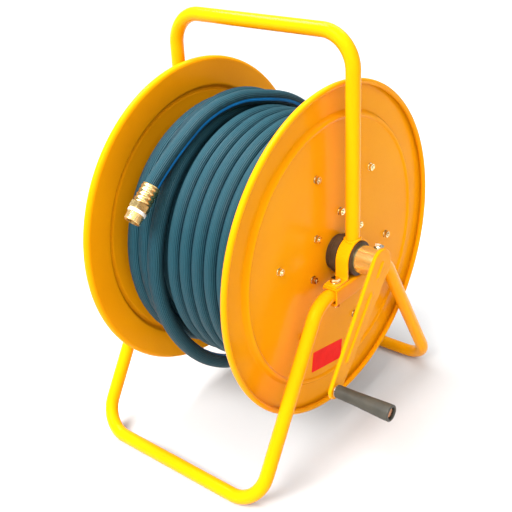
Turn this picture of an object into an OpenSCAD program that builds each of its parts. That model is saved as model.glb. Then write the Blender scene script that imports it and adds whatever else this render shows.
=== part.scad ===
// Garden hose reel on a bent-tube carrying stand, with crank, swivel inlet and a wound hose.
// Millimetres, +Z up, X along the axle towards the crank, -Y is the front.

/* [Stand] */
// Outside diameter of the bent frame tube
tube_d = 22; // [18:0.5:28]
// Wall thickness of the frame tube
tube_wall = 1.5; // [1:0.1:3]
// Distance from the reel middle to each side of the stand
frame_x = 169; // [150:1:220]
// Height of the axle above the floor
axle_z = 326; // [290:1:420]
// Height of the carrying bar above the axle
handle_rise = 336; // [290:1:420]
// Centreline radius of the carrying bar bends
handle_bend = 52; // [35:1:70]
// Distance of each foot bar from the axle, front to back
foot_y = 250; // [200:1:320]
// Centreline radius of the foot bar bends
foot_bend = 50; // [35:1:70]
// Centreline radius of the bend where a leg leaves its side channel
knee_bend = 45; // [35:1:47]
// Distance from the axle to the corner point of that bend
knee_y = 89.4; // [80:0.1:120]
// Depth that each leg tube is pushed into its channel, from the axle
leg_start_y = 32; // [20:1:40]

/* [Side channels and straps] */
// Length of each side channel
channel_len = 124; // [110:1:160]
// Sheet thickness of the side channel
channel_t = 3; // [2:0.5:4]
// Outer corner radius of the folded channel
channel_r = 4.5; // [4:0.5:6]
// Width of the strap that holds the bush down
strap_w = 22; // [16:1:30]
// Thickness of the strap
strap_t = 3; // [2:0.5:4]
// Distance from the axle to each strap bolt
strap_bolt_y = 46; // [42:1:52]
// Distance from the axle to the end of each strap foot
strap_end_y = 60; // [55:1:62]

/* [Reel] */
// Outside radius of the reel flanges
flange_r = 264; // [220:1:300]
// Sheet thickness of the flanges and the drum
sheet_t = 1.5; // [1:0.1:2.5]
// Distance from the reel middle to the outer face of a flange's middle
flange_x = 138.5; // [120:0.5:160]
// Drop from the flange's middle to its outer band
band_drop = 5; // [3:0.5:8]
// Radius of the pressed bead between middle and outer band
bead_r = 211.5; // [180:0.5:230]
// Outside radius of the drum
drum_r = 162; // [120:1:180]
// Radius of the drum bolt circle
drum_bolt_r = 142.5; // [110:0.5:152]
// Radius of the hub bolt circle
hub_bolt_r = 64.7; // [50:0.1:80]
// Angle of the first drum bolt
drum_bolt_a = 50; // [0:1:59]
// Angle of the first hub bolt
hub_bolt_a = 21; // [0:1:59]
// Number of bolts on each circle
bolt_count = 6; // [4:1:8]
// Radius of the hub plates inside the drum
hub_plate_r = 80; // [75:1:100]

/* [Axle and bushes] */
// Outside radius of the axle tube
axle_r = 22; // [18:0.5:26]
// Wall thickness of the axle tube
axle_wall = 2.5; // [2:0.5:4]
// Reach of the axle tube on the crank side
axle_right = 219; // [205:1:240]
// Reach of the axle tube on the inlet side
axle_left = 190; // [186:1:210]
// Outside radius of the bush sleeve under the strap
bush_r = 27; // [25:0.5:32]
// Radius of the thick bush flange
bush_flange_r = 31; // [29:0.5:40]
// Running gap between the axle and its bushes
bush_gap = 0.05; // [0.02:0.01:0.1]

/* [Crank] */
// Distance from the axle to the grip
crank_len = 197; // [150:1:230]
// Angle of the crank arm below the front horizontal, at rest
crank_angle = 52.6; // [0:0.1:180]
// Radius of the arm's wide end
arm_r1 = 25; // [25:0.5:30]
// Radius of the arm's narrow end
arm_r2 = 14; // [12:0.5:18]
// Sheet thickness of the arm
arm_t = 2.5; // [2:0.5:4]
// Depth of the arm's folded edge
arm_fold = 7; // [5:0.5:10]
// Length of the grip
grip_len = 92; // [70:1:120]
// Radius of the grip at the arm
grip_r1 = 10; // [9:0.5:14]
// Radius of the grip at its outer end
grip_r2 = 12.8; // [10:0.1:16]

/* [Hose] */
// Outside diameter of the hose
hose_d = 24; // [20:0.5:28]
// Bore of the hose
hose_bore = 19; // [15:0.5:22]
// Distance between neighbouring turns
turn_pitch = 24.2; // [24:0.1:26]
// Rise from one layer of turns to the next
layer_rise = 21.8; // [20.8:0.1:24]
// Number of turns in the inner layer
inner_turns = 11; // [9:1:11]
// Number of outer-layer turns next to the crank side
right_turns = 6; // [3:1:6]
// Number of outer-layer turns next to the inlet side
left_turns = 2; // [1:1:2]
// Position of the outer-layer turn nearest the middle
right_first_x = -13; // [-20:1:0]
// Position of the outer-layer turn nearest the inlet side
left_first_x = -97; // [-105:1:-95]

/* [Hidden] */
$fn = 96;
eps = 0.01;

// Derived heights and places
tube_r = tube_d / 2;
channel_top = -(bush_r + 0.2);
channel_gap = 0.2;
channel_h = tube_d + 2 * channel_gap + 2 * channel_t;
leg_top_z = channel_top - channel_h / 2;
web_in_x = frame_x + tube_r + channel_gap;
channel_w = 26;
channel_in_x = web_in_x + channel_t - channel_w;
strap_in_r = bush_r + 0.1;
strap_out_r = strap_in_r + strap_t;
foot_z = tube_r - axle_z;
leg_dy = foot_y - knee_y;
leg_dz = leg_top_z - foot_z;
lean = atan(leg_dy / leg_dz);
leg_len = sqrt(leg_dy * leg_dy + leg_dz * leg_dz);
knee_turn = 90 - lean;
knee_cut = knee_bend * tan(knee_turn / 2);
leg_run = round(100 * (leg_len - foot_bend - knee_cut)) / 100;

// Lap that joins two pipe runs whose ends are turned to each other
lap = 0.8;
lap_r = 0.03;
grip_gap = 0.3;

// Flange and drum stations along the axle
plate_in_x = flange_x - sheet_t;
drum_ring_w = 34;
plate_mid_x = plate_in_x + sheet_t / 2;
band_x = plate_mid_x - band_drop;
bead_bend = 3.25;
bead_in_r = bead_r - bead_bend * 2 * cos(30);
band_r = bead_r + bead_bend * 2 * cos(30) + band_drop / tan(60);
curl_r = 3.45;
lip_bend = 6.25;
lip_r = flange_r - lip_bend - sheet_t / 2;
curl_x = flange_x + 1.7;
hub_plate_t = 4;
axle_bore_r = axle_r - axle_wall;
bush_in_x = 146.5;
bush_step_x = 157;
bush_out_x = 183.5;
spacer_r = 28;

// Crank stations along the axle
arm_back_x = axle_right + 0.3;
arm_face_x = arm_back_x + arm_t;
grip_washer_t = 1.8;
grip_x = arm_face_x + grip_washer_t + grip_gap;
grip_end_x = grip_x + grip_len;
grip_recess = 8;
grip_bolt_r = 4;
grip_seat_x = grip_end_x - grip_recess + grip_gap;
set_bolt_x = 206;

// Inlet stations along the axle, measured from the reel middle
stub_collar_x = 193;
shaft_r = 12;
shaft_bore_r = 8;
keeper_x = 202;
shaft_end_x = 226;
elbow_in_x = 194.5;
elbow_end_x = 234;
elbow_r = 18;
branch_x = 216;
thread_r = 13.2;
thread_len = 16;
branch_tip = 60;

// Middle of the whole part along X, so that the origin is under the middle of its box
x_shift = -(grip_end_x - elbow_end_x) / 2;

// Hose stations
inner_r = drum_r + hose_d / 2 + 0.3;
outer_r = inner_r + layer_rise;
left_r = inner_r + hose_d;
wind_x = turn_pitch * (inner_turns - 1) / 2;
riser_x = -wind_x;
elbow_bend = 24;
riser_r = 10;
riser_bore = 7;
riser_turn = asin(elbow_bend / (inner_r - elbow_bend));
riser_len = sqrt(pow(inner_r - elbow_bend, 2) - pow(elbow_bend, 2));
riser_a = 288.7;
start_arc = 15;
spigot_r = 8;
spigot_len = 21;
slot_w = 25;
start_room = 28.6;
slot_low = 38;

// Loose hose: angle about the axle from the front, distance from the axle, place along it
loose = [
    [250, 198, -73], [230, 203, -71], [205, 216, -65], [180, 218, -58], [150, 213, -51],
    [120, 204, -47], [100, 199, -46], [80, 198, -46], [60, 198, -46], [40, 200, -46],
    [20, 202, -46], [0, 208, -46], [-20, 213, -44], [-40, 221, -41], [-60, 233, -40],
    [-80, 246, -40], [-95, 250, -40], [-110, 249, -40], [-130, 242, -38], [-150, 233, -34],
    [-180, 225, -28], [-210, 220, -24], [-235, 217, -24], [-252, 215, -26], [-262, 214, -29],
    [-272, 217, -34], [-284, 220, -40], [-294, 221, -44], [-303, 221, -46],
    [-312, 223.5, -48], [-319, 228.5, -48.5], [-326, 235.5, -48.5]
];
loose_sides = 12;
loose_steps = 3;

// Hose end fitting, measured along its own axis
ferrule_len = 30;
ferrule_r = 13.6;
hex_len = 11;
hex_af = 27;
seal_len = 5;
male_len = 13;
male_r = 13.2;
male_bore = 7.5;

// Sticker
label_w = 80;
label_h = 35;
label_t = 0.3;
label_y = -27;
label_z = -175.5;
label_tilt = -9.4;

// Hardware sizes
m8_r = 4;
m8_af = 13;
m8_head_h = 5.3;
m8_nut_h = 6.5;
m8_washer_r = 8;
m8_hole_r = 4.4;
m6_r = 3;
m6_af = 10;
m6_head_h = 4;
m6_nut_h = 4.8;
m6_washer_r = 6.2;
m6_washer_t = 1.2;
m6_hole_r = 3.25;
m6_thread_out = 8;
thread_out = 9;
washer_t = 1.6;
fit_gap = 0.02;
strap_nut_top = channel_top - channel_h - washer_t;

// ---------- shared helpers ----------

// Moves a shape drawn about the middle of the axle to its place above the floor
module at_axle() {
    translate([x_shift, 0, axle_z])
        children();
}

// Turns a shape that stands on Z so that it lies along +X
module along_x(x = 0) {
    translate([x, 0, 0])
        rotate([90, 0, 90])
            children();
}

// Draws a shape for the crank side or mirrors it to the inlet side
module side(s) {
    mirror([s < 0 ? 1 : 0, 0, 0])
        children();
}

module ring2d(r_out, r_in) {
    difference() {
        circle(r = r_out);
        circle(r = r_in);
    }
}

module tube_straight(len) {
    linear_extrude(len)
        ring2d(tube_r, tube_r - tube_wall);
}

module tube_bend(bend_r, turn) {
    rotate_extrude(angle = turn)
        translate([bend_r, 0])
            ring2d(tube_r, tube_r - tube_wall);
}

module pipe(r_out, r_in, len) {
    difference() {
        cylinder(r = r_out, h = len);
        translate([0, 0, -1])
            cylinder(r = r_in, h = len + 2);
    }
}

module hex_prism(af, h) {
    cylinder(d = af / cos(30), h = h, $fn = 6);
}

module hex_nut(af, r_in, h) {
    difference() {
        hex_prism(af, h);
        translate([0, 0, -1])
            cylinder(r = r_in + 0.05, h = h + 2);
    }
}

// Places a child at every bolt of a circle around the axle, standing on +X
module bolt_circle(r, first_a) {
    for (i = [0 : bolt_count - 1])
        rotate([first_a + i * 360 / bolt_count, 0, 0])
            translate([0, r, 0])
                rotate([0, 90, 0])
                    children();
}

// ---------- stand ----------

module half_handle() {
    translate([frame_x, 0, strap_out_r - 6])
        tube_straight(handle_rise - handle_bend - strap_out_r + 6);
    translate([frame_x - handle_bend, 0, handle_rise - handle_bend])
        rotate([90, 0, 0])
            tube_bend(handle_bend, 90);
    translate([0, 0, handle_rise])
        rotate([0, 90, 0])
            tube_straight(frame_x - handle_bend);
}

module top_handle() {
    color([0.96, 0.66, 0.07])
        at_axle()
            difference() {
                union() {
                    half_handle();
                    mirror([1, 0, 0])
                        half_handle();
                }
                along_x(-frame_x - strap_w)
                    cylinder(r = strap_out_r + 0.1, h = 2 * (frame_x + strap_w));
            }
}

module half_leg() {
    // tube held in the channel, lapped over the end of the knee
    translate([frame_x, -leg_start_y, leg_top_z])
        rotate([90, 0, 0])
            linear_extrude(knee_y - knee_cut - leg_start_y + lap)
                ring2d(tube_r + lap_r, tube_r - tube_wall - lap_r);
    // knee, leg, foot bend and half of the foot bar
    translate([frame_x, -foot_y, foot_z])
        rotate([-lean, 0, 0]) {
            translate([0, knee_bend, foot_bend + leg_run])
                rotate([90, 0, 90])
                    mirror([1, 0, 0])
                        tube_bend(knee_bend, knee_turn);
            translate([0, 0, foot_bend])
                tube_straight(leg_run);
            translate([-foot_bend, 0, foot_bend])
                rotate([90, 0, 0])
                    rotate([0, 0, -90])
                        tube_bend(foot_bend, 90);
            translate([-frame_x, 0, 0])
                rotate([0, 90, 0])
                    tube_straight(frame_x - foot_bend);
        }
}

module leg_frame() {
    color([0.96, 0.66, 0.07])
        difference() {
            union() {
                half_leg();
                mirror([1, 0, 0])
                    half_leg();
            }
            for (s = [-1, 1])
                translate([s * frame_x, -strap_bolt_y, leg_top_z - tube_r - 1])
                    cylinder(r = m8_hole_r, h = tube_d + 2);
        }
}

module front_leg_frame() {
    at_axle()
        leg_frame();
}

module rear_leg_frame() {
    at_axle()
        mirror([0, 1, 0])
            leg_frame();
}

// Quarter of the folded corner of the channel, as a prism along +Z
module channel_corner() {
    linear_extrude(channel_len)
        intersection() {
            ring2d(channel_r, channel_r - channel_t);
            square(channel_r + 1);
        }
}

module channel() {
    web_h = channel_h - 2 * channel_r;
    lip_w = channel_w - channel_r;
    bottom = channel_top - channel_h;
    difference() {
        union() {
            translate([web_in_x, -channel_len / 2, bottom + channel_r])
                cube([channel_t, channel_len, web_h]);
            for (z = [bottom, channel_top - channel_t])
                translate([channel_in_x, -channel_len / 2, z])
                    cube([lip_w, channel_len, channel_t]);
            translate([channel_in_x + lip_w, channel_len / 2, channel_top - channel_r])
                rotate([90, 0, 0])
                    channel_corner();
            translate([channel_in_x + lip_w, -channel_len / 2, bottom + channel_r])
                rotate([-90, 0, 0])
                    channel_corner();
        }
        for (y = [-strap_bolt_y, strap_bolt_y])
            translate([frame_x, y, bottom - 1])
                cylinder(r = m8_hole_r, h = channel_h + 2);
    }
}

module channel_right() {
    color([0.94, 0.62, 0.06])
        at_axle()
            channel();
}

module channel_left() {
    color([0.94, 0.62, 0.06])
        at_axle()
            side(-1)
                channel();
}

module strap() {
    translate([frame_x - strap_w / 2, 0, 0])
        difference() {
            union() {
                rotate([90, 0, 90])
                    rotate_extrude(angle = 180)
                        translate([strap_in_r, 0])
                            square([strap_t, strap_w]);
                for (s = [0, 1])
                    mirror([0, s, 0]) {
                        translate([0, strap_in_r, channel_top])
                            cube([strap_w, strap_t, -channel_top]);
                        translate([0, strap_out_r - eps, channel_top])
                            cube([strap_w, strap_end_y - strap_out_r, strap_t]);
                    }
            }
            for (y = [-strap_bolt_y, strap_bolt_y])
                translate([strap_w / 2, y, channel_top - 1])
                    cylinder(r = m8_hole_r, h = strap_t + 2);
        }
}

module strap_right() {
    color([0.97, 0.70, 0.08])
        at_axle()
            strap();
}

module strap_left() {
    color([0.97, 0.70, 0.08])
        at_axle()
            side(-1)
                strap();
}

module at_strap_bolts() {
    for (s = [-1, 1])
        for (y = [-strap_bolt_y, strap_bolt_y])
            at_axle()
                translate([s * frame_x, y, 0])
                    children();
}

module strap_bolts() {
    color([0.80, 0.70, 0.42])
        at_strap_bolts() {
            translate([0, 0, channel_top + strap_t + washer_t])
                hex_prism(m8_af, m8_head_h);
            translate([0, 0, strap_nut_top - thread_out])
                cylinder(r = m8_r,
                    h = channel_top + strap_t + washer_t - strap_nut_top + thread_out + eps);
        }
}

module strap_washers() {
    color([0.78, 0.70, 0.45])
        at_strap_bolts()
            for (z = [channel_top + strap_t, strap_nut_top])
                translate([0, 0, z])
                    pipe(m8_washer_r, m8_r + 0.2, washer_t);
}

module strap_nuts() {
    color([0.80, 0.70, 0.42])
        at_strap_bolts()
            translate([0, 0, strap_nut_top - m8_nut_h])
                hex_nut(m8_af, m8_r, m8_nut_h);
}

// ---------- bushes and spacers ----------

module bush() {
    along_x()
        rotate_extrude()
            polygon([
                [axle_r + bush_gap, bush_in_x],
                [bush_flange_r - 1, bush_in_x],
                [bush_flange_r, bush_in_x + 1],
                [bush_flange_r, bush_step_x - 1],
                [bush_flange_r - 1, bush_step_x],
                [bush_r, bush_step_x],
                [bush_r, bush_out_x - 1],
                [bush_r - 1, bush_out_x],
                [axle_r + bush_gap, bush_out_x]
            ]);
}

module bush_right() {
    color([0.16, 0.13, 0.11])
        at_axle()
            bush();
}

module bush_left() {
    color([0.16, 0.13, 0.11])
        at_axle()
            side(-1)
                bush();
}

module spacer() {
    along_x(flange_x + 0.05)
        pipe(spacer_r, axle_r + 0.05, bush_in_x - flange_x - 0.4);
}

module spacer_right() {
    color([0.72, 0.72, 0.70])
        at_axle()
            spacer();
}

module spacer_left() {
    color([0.72, 0.72, 0.70])
        at_axle()
            side(-1)
                spacer();
}

// ---------- reel ----------

// Points on an arc of the sheet, one sheet face at a time
function sheet_arc(c, r, a0, a1, n) = [for (i = [0 : n]) let(a = a0 + (a1 - a0) * i / n)
    c + r * [cos(a), sin(a)]];

// One face of the flange sheet from its hole to its rolled edge; f is +1 outside, -1 inside
function flange_face(f) = concat(
    [[axle_r + 0.5, plate_mid_x + f * sheet_t / 2]],
    sheet_arc([bead_in_r, plate_mid_x + bead_bend], bead_bend - f * sheet_t / 2, -90, -30, 4),
    sheet_arc([bead_r, plate_mid_x], bead_bend + f * sheet_t / 2, 150, 30, 8),
    sheet_arc([band_r, band_x + bead_bend], bead_bend - f * sheet_t / 2, 210, 270, 4),
    sheet_arc([lip_r, band_x + lip_bend], lip_bend - f * sheet_t / 2, -90, 0, 6),
    sheet_arc([lip_r + lip_bend - curl_r, curl_x], curl_r - f * sheet_t / 2, 0, 235, 18)
);

module flange_profile() {
    inside = flange_face(-1);
    last = len(inside) - 1;
    polygon(concat(flange_face(1), [for (i = [last : -1 : 0]) inside[i]]));
}

module flange() {
    difference() {
        along_x()
            rotate_extrude()
                flange_profile();
        bolt_circle(drum_bolt_r, drum_bolt_a)
            translate([0, 0, plate_in_x - 5])
                cylinder(r = m6_hole_r, h = 12);
        bolt_circle(hub_bolt_r, hub_bolt_a)
            translate([0, 0, plate_in_x - 5])
                cylinder(r = m6_hole_r, h = 12);
    }
}

module flange_right() {
    color([0.95, 0.60, 0.05])
        at_axle()
            flange();
}

module flange_left() {
    color([0.95, 0.60, 0.05])
        at_axle()
            side(-1)
                flange();
}

module drum_shell() {
    color([0.93, 0.58, 0.05])
        at_axle()
            difference() {
                along_x()
                    rotate_extrude() {
                        translate([drum_r - sheet_t, -plate_in_x])
                            square([sheet_t, 2 * plate_in_x]);
                        for (x = [-plate_in_x, plate_in_x - sheet_t])
                            translate([drum_r - drum_ring_w, x])
                                square([drum_ring_w - sheet_t / 2, sheet_t]);
                    }
                for (s = [0, 1])
                    mirror([s, 0, 0])
                        bolt_circle(drum_bolt_r, drum_bolt_a)
                            translate([0, 0, plate_in_x - 5])
                                cylinder(r = m6_hole_r, h = 12);
                // slot for the outlet elbow
                rotate([riser_a, 0, 0])
                    translate([riser_x - slot_w / 2, inner_r - 25, -slot_low])
                        cube([slot_w, 30, slot_low + 14]);
            }
}

module hub_plate() {
    difference() {
        along_x(plate_in_x - hub_plate_t)
            pipe(hub_plate_r, axle_r + 0.03, hub_plate_t);
        bolt_circle(hub_bolt_r, hub_bolt_a)
            translate([0, 0, plate_in_x - hub_plate_t - 1])
                cylinder(r = m6_hole_r, h = hub_plate_t + 2);
    }
}

module hub_plate_right() {
    color([0.70, 0.68, 0.62])
        at_axle()
            hub_plate();
}

module hub_plate_left() {
    color([0.70, 0.68, 0.62])
        at_axle()
            side(-1)
                hub_plate();
}

// Bolt standing on +Z with its head's seat at z = 0
module m6_bolt(reach) {
    translate([0, 0, -m6_head_h])
        hex_prism(m6_af, m6_head_h);
    translate([0, 0, -eps])
        cylinder(r = m6_r, h = reach);
}

module m6_flange_nut() {
    pipe(m6_washer_r, m6_r + 0.05, m6_washer_t);
    translate([0, 0, m6_washer_t - eps])
        hex_nut(m6_af, m6_r, m6_nut_h);
}

module drum_bolts() {
    seat = plate_in_x - sheet_t;
    color([0.82, 0.72, 0.44])
        at_axle()
            for (s = [0, 1])
                mirror([s, 0, 0])
                    bolt_circle(drum_bolt_r, drum_bolt_a)
                        translate([0, 0, seat])
                            m6_bolt(flange_x - seat + m6_thread_out);
}

module drum_nuts() {
    color([0.82, 0.72, 0.44])
        at_axle()
            for (s = [0, 1])
                mirror([s, 0, 0])
                    bolt_circle(drum_bolt_r, drum_bolt_a)
                        translate([0, 0, flange_x + fit_gap])
                            m6_flange_nut();
}

module hub_bolts() {
    seat = plate_in_x - hub_plate_t;
    color([0.82, 0.72, 0.44])
        at_axle()
            for (s = [0, 1])
                mirror([s, 0, 0])
                    bolt_circle(hub_bolt_r, hub_bolt_a)
                        translate([0, 0, seat])
                            m6_bolt(flange_x - seat + m6_thread_out);
}

module hub_nuts() {
    color([0.82, 0.72, 0.44])
        at_axle()
            for (s = [0, 1])
                mirror([s, 0, 0])
                    bolt_circle(hub_bolt_r, hub_bolt_a)
                        translate([0, 0, flange_x + fit_gap])
                            m6_flange_nut();
}

// ---------- axle, outlet and inlet ----------

module axle_tube() {
    color([0.80, 0.68, 0.36])
        at_axle()
            difference() {
                along_x(-axle_left)
                    pipe(axle_r, axle_bore_r, axle_left + axle_right);
                rotate([crank_angle, 0, 0])
                    rotate([-90, 0, 0])
                        translate([set_bolt_x, 0, axle_r - 6])
                            cylinder(r = m8_r + 0.3, h = 12);
                rotate([riser_a - riser_turn, 0, 0])
                    rotate([-90, 0, 0])
                        translate([riser_x, 0, axle_r - 8])
                            cylinder(r = riser_r + 0.1, h = 16);
            }
}

module axle_baffle() {
    color([0.70, 0.70, 0.68])
        at_axle()
            along_x(-96)
                cylinder(r = axle_bore_r - 0.02, h = 4);
}

module outlet_riser() {
    color([0.72, 0.70, 0.66])
        at_axle()
            translate([riser_x, 0, 0])
                rotate([riser_a, 0, 0])
                    rotate([90, 0, 90]) {
                        rotate([0, 0, -riser_turn])
                            translate([axle_bore_r + 0.3, 0, 0])
                                rotate([0, 90, 0])
                                    pipe(riser_r + lap_r, riser_bore - lap_r,
                                        riser_len - axle_bore_r - 0.3 + lap);
                        translate([inner_r - elbow_bend, 0, 0])
                            rotate([0, 0, -90 - riser_turn])
                                rotate_extrude(angle = 90 + riser_turn)
                                    translate([elbow_bend, 0])
                                        ring2d(riser_r, riser_bore);
                        translate([inner_r, 0, 0])
                            rotate([-90, 0, 0])
                                pipe(spigot_r, 6, spigot_len);
                    }
}

// Piece of the hose's ring, as seen from the crank side, from angle a0 on
module hose_ring(a0, turn, r_out, r_in) {
    rotate([a0, 0, 0])
        rotate([90, 0, 90])
            rotate_extrude(angle = turn)
                translate([inner_r, 0])
                    ring2d(r_out, r_in);
}

module outlet_clamp() {
    arc = 8 / inner_r * 180 / PI;
    color([0.75, 0.75, 0.74])
        at_axle()
            translate([riser_x, 0, 0])
                rotate([riser_a + 2.2, 0, 0])
                    difference() {
                        union() {
                            hose_ring(0, arc, hose_d / 2 + 1.1, hose_d / 2 + 0.05);
                            translate([-14, inner_r + 6, -1])
                                cube([10, 8, 10]);
                        }
                        hose_ring(-2, arc + 4, hose_d / 2 + 0.04, 1);
                    }
}

module inlet_stub() {
    color([0.84, 0.66, 0.30])
        at_axle()
            side(-1)
                along_x()
                    difference() {
                        rotate_extrude()
                            polygon([
                                [shaft_bore_r, 168],
                                [axle_bore_r - 0.02, 168],
                                [axle_bore_r - 0.02, axle_left + 0.05],
                                [axle_r, axle_left + 0.05],
                                [axle_r, stub_collar_x],
                                [shaft_r, stub_collar_x],
                                [shaft_r, keeper_x - 3],
                                [14, keeper_x - 3],
                                [14, keeper_x],
                                [shaft_r, keeper_x],
                                [shaft_r, shaft_end_x],
                                [shaft_bore_r, shaft_end_x]
                            ]);
                        for (x = [206, 220])
                            translate([0, 0, x - 1.3])
                                pipe(shaft_r + 1, 10.2, 2.6);
                    }
}

module swivel_o_rings() {
    color([0.08, 0.08, 0.08])
        at_axle()
            side(-1)
                along_x()
                    for (x = [206, 220])
                        translate([0, 0, x])
                            rotate_extrude()
                                translate([11.1, 0])
                                    circle(r = 0.85, $fn = 24);
}

module swivel_elbow() {
    color([0.86, 0.68, 0.32])
        at_axle()
            side(-1)
                difference() {
                    union() {
                        along_x(elbow_in_x)
                            cylinder(r = elbow_r, h = elbow_end_x - elbow_in_x);
                        translate([branch_x, 0, -branch_tip])
                            cylinder(r = thread_r, h = branch_tip - 5);
                        translate([branch_x, 0, -branch_tip + thread_len])
                            hex_prism(30, 12);
                    }
                    along_x(elbow_in_x - 1)
                        cylinder(r = shaft_r + 0.06, h = shaft_end_x + 3 - elbow_in_x + 1);
                    along_x(elbow_in_x - 1)
                        cylinder(r = 14.3, h = keeper_x + 0.3 - elbow_in_x + 1);
                    along_x(keeper_x - 5.1)
                        cylinder(r = 15.6, h = 1.7);
                    translate([branch_x, 0, -branch_tip - 1])
                        cylinder(r = 9, h = branch_tip);
                }
}

module swivel_circlip() {
    color([0.35, 0.35, 0.36])
        at_axle()
            side(-1)
                along_x(keeper_x - 5)
                    difference() {
                        pipe(15.5, 12.6, 1.5);
                        translate([-2, -17, -1])
                            cube([4, 17, 4]);
                    }
}

// ---------- crank ----------

// Frame whose +Y points from the axle to the grip
module at_crank() {
    at_axle()
        rotate([180 + crank_angle, 0, 0])
            children();
}

module arm_outline(shrink) {
    hull() {
        circle(r = arm_r1 - shrink, $fn = 64);
        translate([crank_len, 0])
            circle(r = arm_r2 - shrink, $fn = 48);
    }
}

module rib(from, to, r) {
    hull()
        for (s = [from, to])
            translate([s, 0])
                circle(r = r, $fn = 24);
}

module crank_hub() {
    color([0.80, 0.68, 0.36])
        at_crank()
            difference() {
                along_x(182)
                    pipe(axle_bore_r - 0.1, 15.5, arm_back_x - 182);
                rotate([90, 0, 0])
                    translate([set_bolt_x, 0, 10])
                        cylinder(r = m8_r + 0.05, h = 14);
            }
}

module crank_arm() {
    color([0.97, 0.68, 0.08])
        at_crank()
            along_x() {
                difference() {
                    translate([0, 0, arm_face_x - arm_fold])
                        linear_extrude(arm_fold)
                            arm_outline(0);
                    translate([0, 0, arm_face_x - arm_fold - 1])
                        linear_extrude(arm_fold + 1 - arm_t)
                            arm_outline(arm_t);
                    translate([crank_len, 0, arm_face_x - arm_t - 1])
                        cylinder(r = grip_bolt_r + 0.1, h = arm_t + 2);
                }
                translate([0, 0, arm_face_x - eps])
                    linear_extrude(1.5)
                        rib(48, 150, 4);
                translate([0, 0, arm_face_x - eps])
                    linear_extrude(1.2)
                        rib(-2, 18, 3);
            }
}

module crank_set_bolt() {
    color([0.84, 0.78, 0.58])
        at_crank()
            rotate([90, 0, 0])
                translate([set_bolt_x, 0, 0]) {
                    translate([0, 0, axle_r + washer_t + 0.02])
                        hex_prism(m8_af, m8_head_h);
                    translate([0, 0, 12])
                        cylinder(r = m8_r, h = axle_r + washer_t - 12 + 0.1);
                }
}

module crank_set_washer() {
    color([0.80, 0.76, 0.60])
        at_crank()
            rotate([90, 0, 0])
                translate([set_bolt_x, 0, axle_r + 0.01])
                    pipe(7.8, m8_r + 0.1, washer_t);
}

module at_grip() {
    at_crank()
        translate([0, crank_len, 0])
            along_x()
                children();
}

module grip_bolt() {
    color([0.78, 0.52, 0.30])
        at_grip() {
            translate([0, 0, grip_seat_x])
                hex_prism(m8_af, m8_head_h);
            translate([0, 0, arm_back_x - thread_out])
                cylinder(r = grip_bolt_r, h = grip_seat_x - arm_back_x + thread_out + eps);
        }
}

module grip_washer() {
    color([0.80, 0.76, 0.60])
        at_grip()
            translate([0, 0, arm_face_x + 0.01])
                pipe(9.5, grip_bolt_r + 0.1, grip_washer_t);
}

module grip_nut() {
    color([0.82, 0.76, 0.55])
        at_grip()
            translate([0, 0, arm_back_x - m8_nut_h - 0.1])
                hex_nut(m8_af, grip_bolt_r, m8_nut_h);
}

module grip() {
    color([0.22, 0.21, 0.20])
        at_grip()
            rotate_extrude()
                polygon([
                    [grip_bolt_r + 0.06, grip_x],
                    [grip_r1 - 1, grip_x],
                    [grip_r1, grip_x + 1],
                    [grip_r1 + 0.4, grip_x + 30],
                    [grip_r2 - 0.6, grip_end_x - 22],
                    [grip_r2, grip_end_x - 8],
                    [grip_r2, grip_end_x - 1.5],
                    [grip_r2 - 1.5, grip_end_x],
                    [grip_r2 - 3, grip_end_x],
                    [grip_r2 - 4, grip_end_x - 1],
                    [grip_r2 - 4, grip_end_x - grip_recess],
                    [grip_bolt_r + 0.06, grip_end_x - grip_recess]
                ]);
}

module label() {
    color([0.86, 0.12, 0.10])
        at_axle()
            translate([flange_x + 0.02, label_y, label_z])
                rotate([label_tilt, 0, 0])
                    translate([0, -label_w / 2, -label_h / 2])
                        cube([label_t, label_w, label_h]);
}

// ---------- hose ----------

module hose_start() {
    first = 0.4;
    color([0.12, 0.34, 0.42])
        at_axle()
            translate([riser_x, 0, 0])
                hose_ring(riser_a + first, start_arc - first, hose_d / 2, hose_bore / 2);
}

// Outline of a group of turns lying side by side from first_x on
module turn_group(r, first_x, count, depth) {
    last_x = first_x + turn_pitch * (count - 1);
    translate([r - depth, first_x])
        square([depth + 3, last_x - first_x]);
    for (i = [0 : count - 1])
        translate([r, first_x + i * turn_pitch])
            circle(r = hose_d / 2);
}

module hose_coil() {
    color([0.12, 0.34, 0.42])
        at_axle()
            difference() {
                along_x()
                    rotate_extrude() {
                        turn_group(inner_r, -wind_x, inner_turns, hose_d / 2);
                        turn_group(outer_r, right_first_x, right_turns, layer_rise - 4);
                        turn_group(left_r, left_first_x, left_turns, layer_rise - 4);
                    }
                // room for the outlet elbow, the clamp and the first stretch of hose
                rotate([riser_a - 16, 0, 0])
                    rotate([90, 0, 90])
                        rotate_extrude(angle = 16 + start_arc)
                            translate([drum_r - 1, riser_x - start_room / 2])
                                square([hose_d + 6, start_room]);
            }
}

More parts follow.
